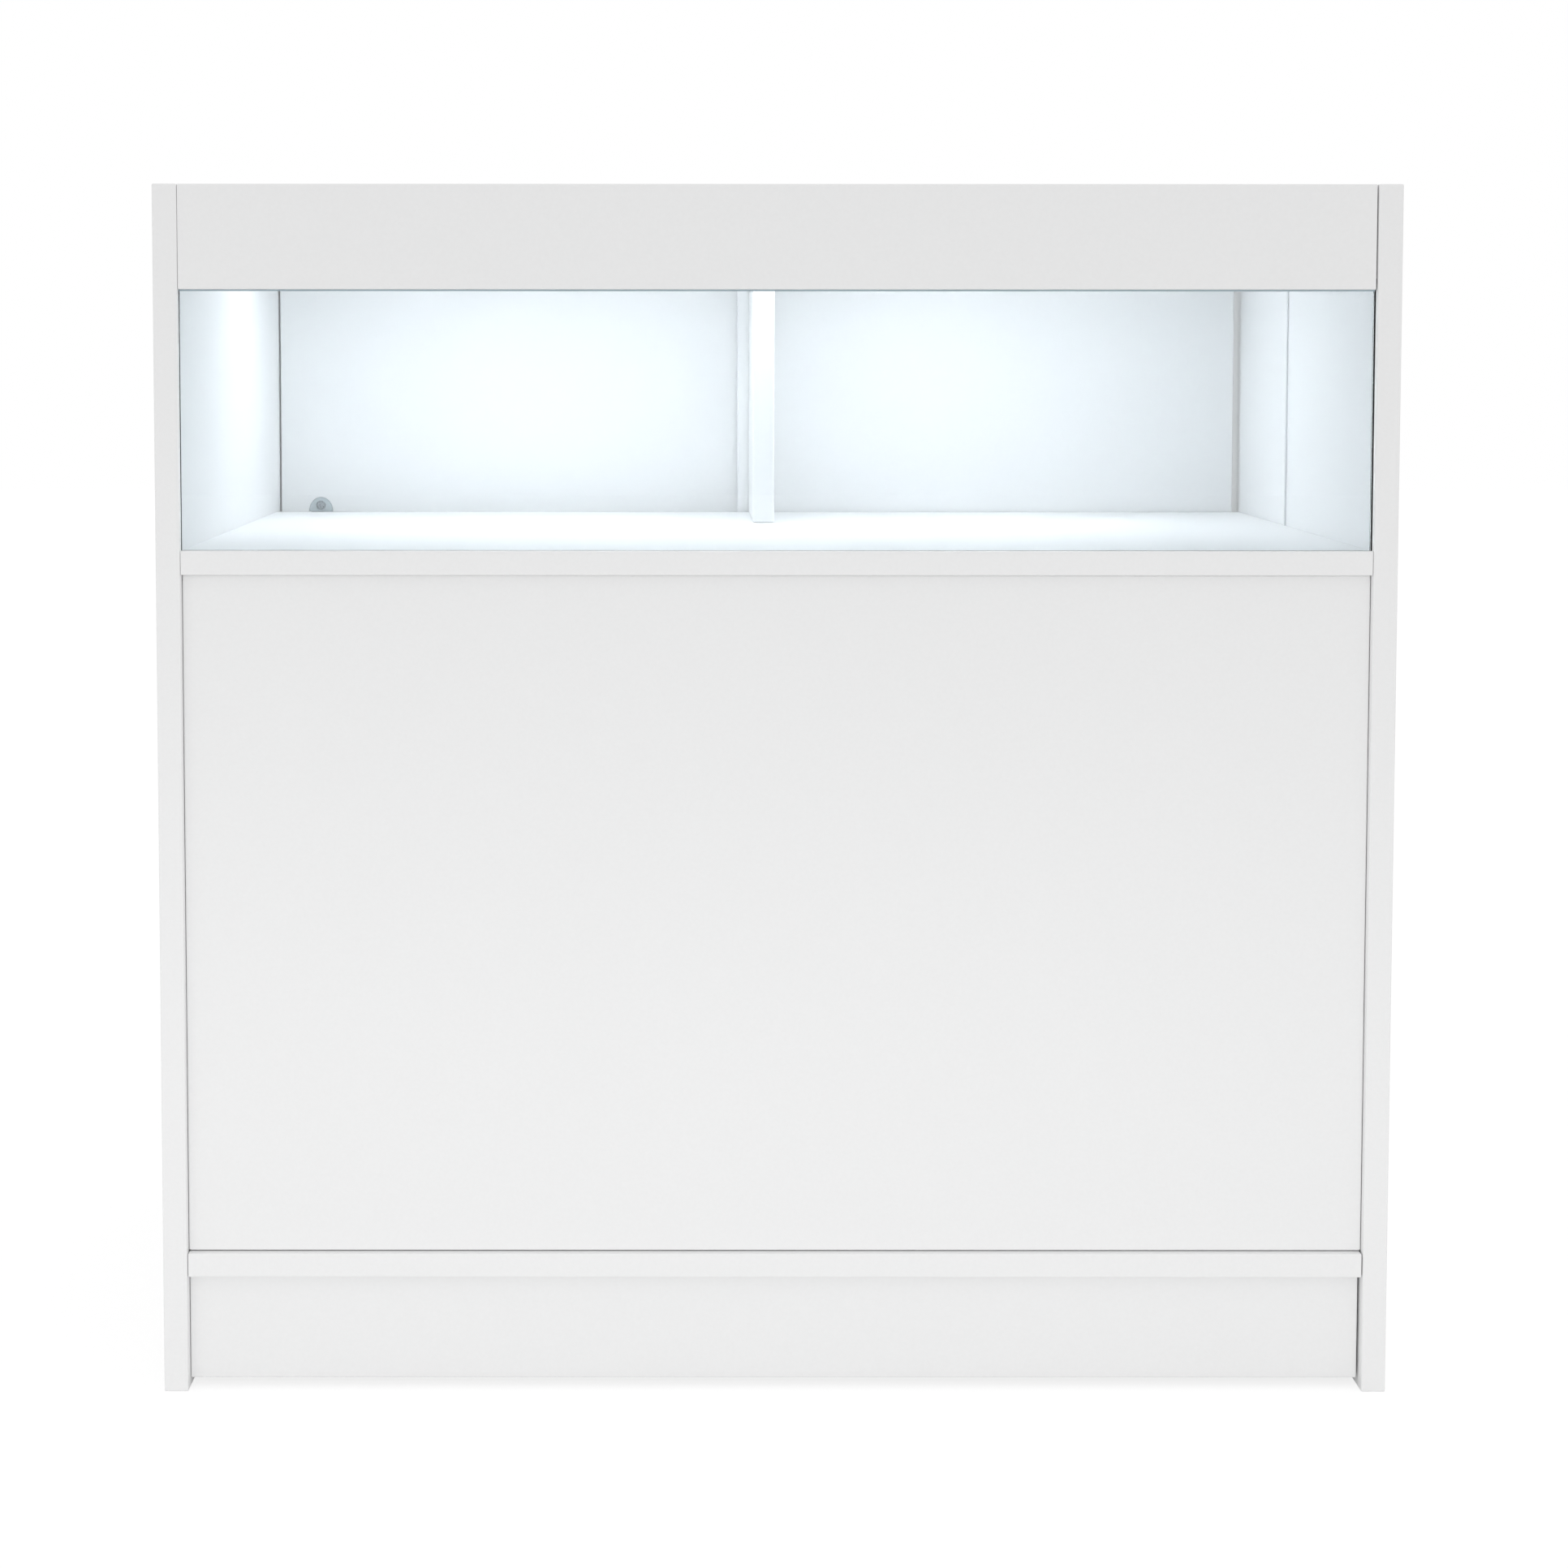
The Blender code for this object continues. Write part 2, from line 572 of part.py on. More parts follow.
def make_tracks(material, body):
    """Twin-groove sections, the upper one with deep grooves so that a door can be lifted in and out."""
    half = GROOVE_WIDTH / 2
    outline = [(TRACK_FRONT_Y, TRACK_BOTTOM), (TRACK_FRONT_Y, TRACK_TOP)]
    for y in GROOVE_YS:
        outline += [(y - half, TRACK_TOP), (y - half, TRACK_TOP - GROOVE_DEPTH)]
        outline += [(y + half, TRACK_TOP - GROOVE_DEPTH), (y + half, TRACK_TOP)]
    outline += [(TRACK_REAR_Y, TRACK_TOP), (TRACK_REAR_Y, TRACK_BOTTOM)]
    ends = (-INNER_X + SEAM_LEFT, INNER_X - SEAM_RIGHT)
    extrusion("door_track_bottom", outline, *ends, (0, TRACK_FRONT_Y, TRACK_BOTTOM), material, body)
    outline = [(TRACK_FRONT_Y, TOP_TRACK_TOP), (TRACK_FRONT_Y, TOP_TRACK_BOTTOM)]
    for y in GROOVE_YS:
        outline += [(y - half, TOP_TRACK_BOTTOM), (y - half, TOP_TRACK_BOTTOM + TOP_GROOVE_DEPTH)]
        outline += [(y + half, TOP_TRACK_BOTTOM + TOP_GROOVE_DEPTH), (y + half, TOP_TRACK_BOTTOM)]
    outline += [(TRACK_REAR_Y, TOP_TRACK_BOTTOM), (TRACK_REAR_Y, TOP_TRACK_TOP)]
    extrusion("door_track_top", outline, *ends, (0, TRACK_FRONT_Y, TOP_TRACK_BOTTOM), material, body)


def half_oval(play=0.0):
    """Outline of a shoe in X and Z, above the door's edge: half an oval on a straight foot."""
    wide = SHOE_WIDTH / 2 + play
    tall = SHOE_HEIGHT - SHOE_FOOT + play
    return [(wide * u, SHOE_FOOT + tall * v) for u, v in arc((0, 0), 1, 0, 180, OVAL_STEPS)]


def screw_reach():
    """Length of a shoe's screw below its crown."""
    return SHOE_PROUD - SCREW_SINK + SHOE_DEPTH + SCREW_BITE


def shoe_mesh(name, tongue_reach):
    """A glide shoe about the door's edge. Y runs into the door from its face, and the tongue points down."""
    body = bmesh.new()
    add_prism(body, half_oval(), -SHOE_PROUD, SHOE_DEPTH, along_y)
    added = bmesh.new()
    half_tongue = GROOVE_WIDTH / 2 - TONGUE_PLAY
    middle = DOOR_BOARD / 2
    low = (-TONGUE_LENGTH / 2, middle - half_tongue, -tongue_reach)
    high = (TONGUE_LENGTH / 2, middle + half_tongue, SHOE_FOOT + TONGUE_ROOT)
    add_box(added, low, high)
    out_of_face = Matrix.Translation((0, -SHOE_PROUD, SCREW_LEVEL)) @ Matrix.Rotation(math.pi / 2, 4, "X")
    add_turned(added, rod(COLLAR_RADIUS, COLLAR_RISE, -SHOE_PROUD), SIDES, out_of_face)
    hole = bmesh.new()
    bore = SCREW_RADIUS + SCREW_PLAY
    recess = SCREW_HEAD_RADIUS + SCREW_RECESS_PLAY
    rim = SCREW_SINK + SCREW_DOME + SCREW_CONE_DROP
    profile = [
        (0, -2 * SHOE_DEPTH),
        (bore, -2 * SHOE_DEPTH),
        (bore, -rim - SCREW_HEAD_DEPTH),
        (recess, -rim - SCREW_RIM),
        (recess, SHOE_DEPTH),
        (0, SHOE_DEPTH),
    ]
    add_turned(hole, profile, SIDES, out_of_face)
    return combined(name, body, added, hole)


def combined(name, base, added=None, taken=None):
    """One mesh from a base solid, with a second joined on and a third cut away."""
    piece = bpy.data.objects.new(name, mesh_from(name, base))
    bpy.context.collection.objects.link(piece)
    helpers = []
    for operation, solid in (("UNION", added), ("DIFFERENCE", taken)):
        if solid is None:
            continue
        helper = bpy.data.objects.new(f"{name}_{operation}", mesh_from(f"{name}_{operation}", solid))
        bpy.context.collection.objects.link(helper)
        helpers.append(helper)
        boolean = piece.modifiers.new(operation, "BOOLEAN")
        boolean.operation = operation
        boolean.object = helper
    bpy.context.view_layer.update()
    evaluated = piece.evaluated_get(bpy.context.evaluated_depsgraph_get())
    mesh = bpy.data.meshes.new_from_object(evaluated)
    mesh.name = name
    for helper in (piece, *helpers):
        bpy.data.objects.remove(helper, do_unlink=True)
    return mesh


def screw_mesh():
    """A raised countersunk cross-head screw about Z, its crown at zero and its tip below."""
    solid = bmesh.new()
    reach = screw_reach()
    profile = [
        (0, -reach),
        (SCREW_RADIUS * 0.4, -reach),
        (SCREW_RADIUS, -reach + SCREW_TIP),
        (SCREW_RADIUS, -SCREW_DOME - SCREW_HEAD_DEPTH),
        (SCREW_HEAD_RADIUS, -SCREW_DOME - SCREW_RIM),
        (SCREW_HEAD_RADIUS, -SCREW_DOME),
        (SCREW_HEAD_RADIUS * 0.88, -SCREW_DOME * 0.45),
        (SCREW_HEAD_RADIUS * 0.70, -SCREW_DOME * 0.10),
        (SCREW_HEAD_RADIUS * 0.45, 0),
        (0, 0),
    ]
    add_turned(solid, profile, SIDES)
    cross = bmesh.new()
    half_span = CROSS_SPAN / 2
    half_bar = CROSS_BAR / 2
    quarter = [(half_bar, half_bar), (half_bar, half_span), (-half_bar, half_span)]
    outline = []
    for step in range(4):
        turn = Matrix.Rotation(step * math.pi / 2, 2)
        outline += [tuple(turn @ Vector(corner)) for corner in quarter]
    add_prism(cross, outline, -CROSS_DEPTH, CROSS_DEPTH, along_z)
    for vert in cross.verts:
        if vert.co.z < 0:
            vert.co.xy *= CROSS_TAPER
    return combined("shoe_screw", solid, taken=cross)


def pull_mesh():
    """A round flush pull about Z: the flange on the door's face at zero, the cup below it."""
    inner = PULL_RADIUS - PULL_WALL
    solid = bmesh.new()
    profile = [
        (0, -PULL_DEPTH),
        (PULL_RADIUS * 0.94, -PULL_DEPTH),
        (PULL_RADIUS, -PULL_DEPTH * 0.94),
        (PULL_RADIUS, SEAT),
        (PULL_FLANGE, SEAT),
        (PULL_FLANGE - PULL_WALL * 0.4, SEAT + PULL_WALL * 0.7),
        (inner + PULL_WALL * 0.5, SEAT + PULL_WALL * 0.7),
        (inner, 0),
        (inner, -PULL_DEPTH + 2 * PULL_WALL),
        (inner - PULL_WALL, -PULL_DEPTH + PULL_WALL),
        (0, -PULL_DEPTH + PULL_WALL),
    ]
    add_turned(solid, profile, PULL_SIDES)
    return mesh_from("finger_pull", solid)


def shoe_places(outer_side):
    """(end name, x from the door's middle) of the two shoes on each edge. outer_side is -1 or 1."""
    outer = outer_side * (DOOR_WIDTH / 2 - SHOE_OUTER_INSET)
    inner = -outer_side * (DOOR_WIDTH / 2 - SHOE_INNER_INSET)
    return (("outer", outer), ("inner", inner))


def door_cutters(door, centre, shoe_face, facing):
    """Pockets for the shoes and pilot holes for the screws. facing is -1 towards the customer."""
    x, y, z = centre
    half_height = DOOR_HEIGHT / 2
    play = SHOE_POCKET_PLAY
    pockets = bmesh.new()
    pilots = bmesh.new()
    oval = half_oval(play)
    outline = [(oval[0][0], -SHOE_HEIGHT)] + oval + [(oval[-1][0], -SHOE_HEIGHT)]
    into = -facing
    start = facing * SHOE_DEPTH
    end = into * (SHOE_DEPTH + play)
    for _, shoe_x in shoe_places(-1 if facing < 0 else 1):
        for way in (-1, 1):
            edge = way * half_height
            placed = [(shoe_x + u, edge - way * v) for u, v in outline]
            add_prism(pockets, placed, *sorted((start, end)), along_y)
            pilot_turn = Matrix.Rotation(-into * math.pi / 2, 4, "X")
            pilot_at = Matrix.Translation((shoe_x, 0, edge - way * SCREW_LEVEL))
            pilot = rod(SCREW_RADIUS + SCREW_PLAY, SHOE_DEPTH + SCREW_BITE + SCREW_PLAY, SHOE_DEPTH / 2)
            add_turned(pilots, pilot, SIDES, pilot_at @ pilot_turn)
    cut(door, mesh_from("shoe_pockets", pockets), (x, shoe_face, z), label="shoe_pockets")
    cut(door, mesh_from("screw_pilots", pilots), (x, shoe_face, z), label="screw_pilots")


def make_door(side, x, front_y, facing, meshes, materials):
    """One sliding door with its shoes, screws and pull. facing is the way its shoes face along Y."""
    middle_z = (DOOR_BOTTOM + DOOR_TOP) / 2
    centre = (x, front_y + DOOR_BOARD / 2, middle_z)
    body = make_body(f"door_{side}", centre)
    name = f"display_door_{side}"
    low = (x - DOOR_WIDTH / 2, front_y, DOOR_BOTTOM)
    high = (x + DOOR_WIDTH / 2, front_y + DOOR_BOARD, DOOR_TOP)
    door = board(name, low, high, materials["board"], body, DOOR_ROUND)
    shoe_face = front_y if facing < 0 else front_y + DOOR_BOARD
    door_cutters(door, centre, shoe_face, facing)
    outer_side = -1 if side == "left" else 1
    turn_z = 0 if facing < 0 else math.pi
    crown_y = shoe_face + facing * (SHOE_PROUD - SCREW_SINK)
    steel = materials["steel"]
    spin = FIRST_SCREW_TURN
    for end, shoe_x in shoe_places(outer_side):
        for edge, edge_z, way in (("bottom", DOOR_BOTTOM, 1), ("top", DOOR_TOP, -1)):
            turn = (0, 0 if way > 0 else math.pi, turn_z)
            place = (x + shoe_x, shoe_face, edge_z)
            shoe_name = f"door_shoe_{side}_{edge}_{end}"
            shoe = place_object(shoe_name, meshes[edge], place, materials["nylon"], body, turn)
            smooth(shoe)
            screw_place = (x + shoe_x, crown_y, edge_z + way * SCREW_LEVEL)
            screw_turn = (-facing * math.pi / 2, spin, 0)
            screw_name = f"shoe_screw_{side}_{edge}_{end}"
            screw = place_object(screw_name, meshes["screw"], screw_place, steel, body, screw_turn)
            smooth(screw)
            spin += SCREW_TURN_STEP
    pull_place = (x + outer_side * (DOOR_WIDTH / 2 - PULL_INSET), front_y + DOOR_BOARD, middle_z)
    recess = bmesh.new()
    add_turned(recess, rod(PULL_RADIUS + SEAT, PULL_DEPTH + SEAT), PULL_SIDES)
    cut(door, mesh_from("pull_recess", recess), pull_place, FACING_REAR, label="pull_recess")
    pull_name = f"finger_pull_{side}"
    pull = place_object(pull_name, meshes["pull"], pull_place, materials["pull"], body, FACING_REAR)
    smooth(pull)


def make_doors(materials):
    """The far door is on the left. Its shoes face the customer and the near door's face the far one."""
    tongue_reach = DOOR_LIFT + GROOVE_DEPTH - SEAT
    meshes = {
        "bottom": shoe_mesh("door_shoe_bottom", tongue_reach),
        "top": shoe_mesh("door_shoe_top", DOOR_HEAD_GAP + TOP_TONGUE_REACH),
        "screw": screw_mesh(),
        "pull": pull_mesh(),
    }
    make_door("left", LEFT_DOOR_X, FAR_DOOR_Y, -1, meshes, materials)
    make_door("right", RIGHT_DOOR_X, NEAR_DOOR_Y, 1, meshes, materials)


def led_top():
    return TOP_UNDERSIDE - SEAT


def led_section():
    """(y, z) outlines of the aluminium channel, the strip and the diffuser, about the middle of the top."""
    half = LED_WIDTH / 2
    inner = half - LED_WALL
    strip_top = -LED_WALL - SEAT
    half_strip = LED_STRIP_WIDTH / 2
    channel = [(-half, 0), (half, 0), (half, -LED_HEIGHT), (inner, -LED_HEIGHT), (inner, -LED_WALL)]
    channel += [(-inner, -LED_WALL), (-inner, -LED_HEIGHT), (-half, -LED_HEIGHT)]
    strip = [(-half_strip, strip_top), (half_strip, strip_top)]
    strip += [(half_strip, strip_top - LED_STRIP), (-half_strip, strip_top - LED_STRIP)]
    leg_out = inner - SEAT
    leg_in = leg_out - LED_WALL / 2
    plate_top = -LED_HEIGHT - SEAT
    plate_low = plate_top - LED_WALL / 2
    leg_top = plate_top + DIFFUSER_LEG
    crown = [
        (half * math.sin(math.radians(angle)), plate_low - LED_CROWN * math.cos(math.radians(angle)))
        for angle in range(75, -76, -15)
    ]
    diffuser = [(-half, plate_low), (-half, plate_top), (-leg_out, plate_top), (-leg_out, leg_top)]
    diffuser += [(-leg_in, leg_top), (-leg_in, plate_top), (leg_in, plate_top), (leg_in, leg_top)]
    diffuser += [(leg_out, leg_top), (leg_out, plate_top), (half, plate_top), (half, plate_low)]
    return channel, strip, diffuser + crown


def lead_exit_z():
    """Level at which the lead passes through the LED bar's right-hand cap."""
    return led_top() - LED_WALL - SEAT - LED_STRIP - LEAD_PLAY - LEAD_RADIUS


def lead_wall_x():
    """Centre of the lead where it runs down the right-hand wall."""
    return INNER_X - SEAT - LEAD_RADIUS


def make_led_bar(materials, body):
    channel, strip, diffuser = led_section()
    place = (LED_LEFT, LED_Y, led_top())
    pieces = (
        ("led_channel", channel, materials["aluminium"], 0),
        ("led_strip", strip, materials["strip"], LED_CAP),
        ("led_diffuser", diffuser, materials["opal"], 0),
    )
    for name, section, material, inset in pieces:
        outline = [(LED_Y + y, led_top() + z) for y, z in section]
        extrusion(name, outline, LED_LEFT + inset, LED_RIGHT - inset, place, material, body)
    half = LED_WIDTH / 2
    foot = -LED_HEIGHT - SEAT - LED_WALL / 2
    cap = [(-half, 0), (half, 0), (half, foot)]
    cap += [
        (half * math.sin(math.radians(angle)), foot - LED_CROWN * math.cos(math.radians(angle)))
        for angle in range(75, -76, -15)
    ]
    cap += [(-half, foot)]
    outline = [(LED_Y + y, led_top() + z) for y, z in cap]
    for side, start in (("left", LED_LEFT - SEAT - LED_CAP), ("right", LED_RIGHT + SEAT)):
        end = start + LED_CAP
        name = f"led_cap_{side}"
        cap_place = (start, LED_Y, led_top())
        end_cap = extrusion(name, outline, start, end, cap_place, materials["cap"], body)
        if side == "left":
            continue
        hole = bmesh.new()
        bore = rod(LEAD_RADIUS + LEAD_PLAY, 2 * LED_CAP)
        add_turned(hole, bore, SMALL_SIDES, Matrix.Rotation(math.pi / 2, 4, "Y"))
        hole_place = ((start + end) / 2, LED_Y, lead_exit_z())
        cut(end_cap, mesh_from("lead_hole", hole), hole_place, label="lead_hole")


def inlet_front_y():
    return LED_Y + INLET_SET


def inlet_middle():
    """Centre of the inlet: under the deck, beside the right-hand wall, in line with the lead."""
    x = lead_wall_x() + LEAD_RADIUS - INLET_WIDTH / 2
    return (x, inlet_front_y() + INLET_LENGTH / 2, DECK_BOTTOM - SEAT - INLET_HEIGHT / 2)


def lead_route():
    """Points of the lead: out of the cap, up to the top board, to the wall, down it and into the inlet."""
    wall_x = lead_wall_x()
    ceiling = TOP_UNDERSIDE - SEAT - LEAD_RADIUS
    start_z = lead_exit_z()
    inlet_z = inlet_middle()[2]
    start_x = LED_RIGHT - LED_CAP - SEAT - LEAD_RADIUS
    rise_from = LED_RIGHT + LED_CAP + LEAD_TAIL / 2
    rise_to = rise_from + 3 * LEAD_BEND
    points = [(start_x, LED_Y, start_z), (rise_from, LED_Y, start_z)]
    for step in range(1, 8):
        share = step / 8
        eased = share * share * (3 - 2 * share)
        x = rise_from + share * (rise_to - rise_from)
        points.append((x, LED_Y, start_z + eased * (ceiling - start_z)))
    bend_x = wall_x - LEAD_BEND
    for step in range(9):
        points.append((rise_to + step / 8 * (bend_x - rise_to), LED_Y, ceiling))
    for x, z in arc((bend_x, ceiling - LEAD_BEND), LEAD_BEND, 90, 0, 6)[1:]:
        points.append((x, LED_Y, z))
    top = ceiling - LEAD_BEND
    bottom = inlet_z + LEAD_BEND
    for step in range(1, 13):
        points.append((wall_x, LED_Y, top + step / 12 * (bottom - top)))
    for y, z in arc((LED_Y + LEAD_BEND, bottom), LEAD_BEND, 180, 270, 6)[1:]:
        points.append((wall_x, y, z))
    points.append((wall_x, inlet_front_y() + LEAD_TAIL, inlet_z))
    return points


def make_lead(material, body):
    """The lead as a round tube along its route."""
    curve = bpy.data.curves.new("led_lead", "CURVE")
    curve.dimensions = "3D"
    curve.bevel_depth = LEAD_RADIUS
    curve.bevel_resolution = 2
    curve.use_fill_caps = True
    route = lead_route()
    spline = curve.splines.new("POLY")
    spline.points.add(len(route) - 1)
    for point, place in zip(spline.points, route):
        point.co = (*place, 1)
    lead = bpy.data.objects.new("led_lead", curve)
    bpy.context.collection.objects.link(lead)
    lead.parent = body
    curve.materials.append(material)


def make_inlet(material, body):
    """Moulded socket: the lead enters its front end, and the supply's plug goes into its rear end."""
    middle = inlet_middle()
    half = (INLET_WIDTH / 2, INLET_LENGTH / 2, INLET_HEIGHT / 2)
    low = [at - side for at, side in zip(middle, half)]
    high = [at + side for at, side in zip(middle, half)]
    inlet = board("led_inlet", low, high, material, body, EDGE_ROUND)
    bores = bmesh.new()
    face_rear = Matrix.Translation((0, half[1], 0)) @ Matrix.Rotation(-math.pi / 2, 4, "X")
    add_turned(bores, rod(SOCKET_RADIUS, SOCKET_DEPTH), SIDES, face_rear)
    entry = rod(LEAD_RADIUS + LEAD_PLAY, LEAD_TAIL + LEAD_RADIUS)
    lead_x = lead_wall_x() - middle[0]
    face_front = Matrix.Translation((lead_x, -half[1], 0)) @ Matrix.Rotation(-math.pi / 2, 4, "X")
    add_turned(bores, entry, SMALL_SIDES, face_front)
    cut(inlet, mesh_from("inlet_bores", bores), middle, label="bores")


def main():
    clear_scene()
    materials = {
        "board": make_material("white_board", (0.80, 0.80, 0.80), 0.42),
        "glass": make_material("clear_glass", (0.93, 0.98, 0.97), 0.03, transmission=1.0),
        "aluminium": make_material("aluminium", (0.72, 0.73, 0.74), 0.35, metallic=1.0),
        "opal": make_material("opal_diffuser", (0.88, 0.95, 1.0), 0.40, emission=6.0),
        "strip": make_material("led_board", (0.92, 0.92, 0.88), 0.50),
        "cap": make_material("grey_plastic", (0.55, 0.56, 0.57), 0.50),
        "seal": make_material("clear_seal", (0.62, 0.68, 0.71), 0.35),
        "track": make_material("track_plastic", (0.83, 0.83, 0.82), 0.38),
        "nylon": make_material("white_nylon", (0.80, 0.81, 0.81), 0.35),
        "steel": make_material("zinc_steel", (0.62, 0.63, 0.65), 0.30, metallic=1.0),
        "pull": make_material("satin_pull", (0.70, 0.71, 0.72), 0.30, metallic=1.0),
        "lead": make_material("white_sleeve", (0.82, 0.83, 0.84), 0.45),
        "socket": make_material("black_socket", (0.03, 0.03, 0.03), 0.45),
        "block": make_material("block_plastic", (0.78, 0.78, 0.76), 0.45),
    }
    carcass = make_body("carcass", (0, 0, 0))
    make_side_panels(materials["board"], carcass)
    make_top(materials["board"], carcass)
    make_deck(materials["board"], carcass)
    make_lower_carcass(materials["board"], carcass)
    make_corner_blocks(materials["block"], carcass)
    make_shelves(materials["board"], materials["steel"], carcass)
    make_glass(materials["glass"], materials["seal"], carcass)
    make_tracks(materials["track"], carcass)
    make_led_bar(materials, carcass)
    make_lead(materials["lead"], carcass)
    make_inlet(materials["socket"], carcass)
    make_doors(materials)


main()
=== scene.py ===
"""Looks of a white shop counter with a lit display case: finishes, studio, floor and camera.

Metres. X runs to the customer's right, Y away from the customer and Z up, with the floor at z = 0.
"""

import json
import math

import bpy
from mathutils import Euler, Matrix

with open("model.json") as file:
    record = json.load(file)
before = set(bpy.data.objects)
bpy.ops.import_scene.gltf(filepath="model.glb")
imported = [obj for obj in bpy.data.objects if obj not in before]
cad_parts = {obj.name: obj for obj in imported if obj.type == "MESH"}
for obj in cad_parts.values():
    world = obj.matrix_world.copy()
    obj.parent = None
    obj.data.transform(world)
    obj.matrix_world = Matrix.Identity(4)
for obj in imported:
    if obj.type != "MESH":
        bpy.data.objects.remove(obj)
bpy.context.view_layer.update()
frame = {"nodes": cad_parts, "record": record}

# The photograph's square frame in pixels, and the camera fitted to the counter's corners in it
PHOTO = 1932
FOCAL_PX = 3172.8
CENTRE_PX = (838.6, 605.2)
CAMERA_PLACE = (-0.0708, -2.1377, 0.7802)
CAMERA_PITCH = math.radians(3.178)
CAMERA_ROLL = math.radians(0.0227)
SENSOR_MM = 36

# Colours as linear RGB
WHITE = (1.0, 1.0, 1.0)
MELAMINE = (0.900, 0.901, 0.902)
GLASS_TINT = (0.925, 0.972, 0.995)
SEAL = (0.42, 0.52, 0.58)
GLASS_SHADE = (0.92, 0.94, 0.93)
# Raw board core in the glass's grooves, near-black: painted shade of the grooves
RAW_CORE_AND_SHADE = (0.045, 0.043, 0.042)
LED_COLOUR = (0.945, 0.972, 1.0)
OPAL = (0.88, 0.92, 0.94)
ALUMINIUM = (0.76, 0.77, 0.78)
TRACK = (0.80, 0.80, 0.79)
NYLON = (0.55, 0.61, 0.635)
ZINC = (0.46, 0.49, 0.52)
NICKEL = (0.70, 0.70, 0.69)
LED_BOARD = (0.86, 0.86, 0.82)
GREY = (0.50, 0.51, 0.52)
SLEEVE = (0.80, 0.81, 0.82)
SOCKET = (0.025, 0.025, 0.026)
BLOCK = (0.74, 0.74, 0.72)

# Finishes: the glass's bend of light, how far light runs in nylon, and heights of relief in metres
GLASS_IOR = 1.52
NYLON_DEPTH = 0.002
FAINT_RELIEF = 0.000006
FINE_RELIEF = 0.00001
MOULDED_RELIEF = 0.000015
NYLON_RELIEF = 0.00002
PEARL_RELIEF = 0.00003

# The front opening inside the grooves of its glass, how far they reach round it, and their place in depth, which
# bound the painted shade in the grooves
OPENING_SIDE = 0.4391
OPENING_LOW = 0.6311
OPENING_HIGH = 0.8232
GROOVE_REACH = 0.008
GROOVE_LINE = -0.2419
GROOVE_HALF = 0.0044

# Light levels, and the direction behind the counter in which the room is dimmer, as an azimuth from +Y towards -X
# and the cosines of the angles from it at which the change starts and ends
STUDIO_LEVEL = 0.898
REAR_LEFT_LEVEL = 0.45
REAR_LEFT_AZIMUTH = math.radians(38)
REAR_LEFT_EDGE = 0.45
REAR_LEFT_CORE = 0.90
LED_LEVEL = 26.6
LOW_LAMP_WATTS = 1.8
LOW_LAMP_LENGTH = 2.4
LOW_LAMP_HEIGHT = 0.12
LOW_LAMP_PLACE = (-0.4, -1.0, 0.08)

# The floor: half its side, what it throws back, and the glow and colour that show it white with a soft shadow
FLOOR_REACH = 12.0
FLOOR_ALBEDO = 0.82
FLOOR_GLOW = 0.80
FLOOR_SHOWN = 0.26


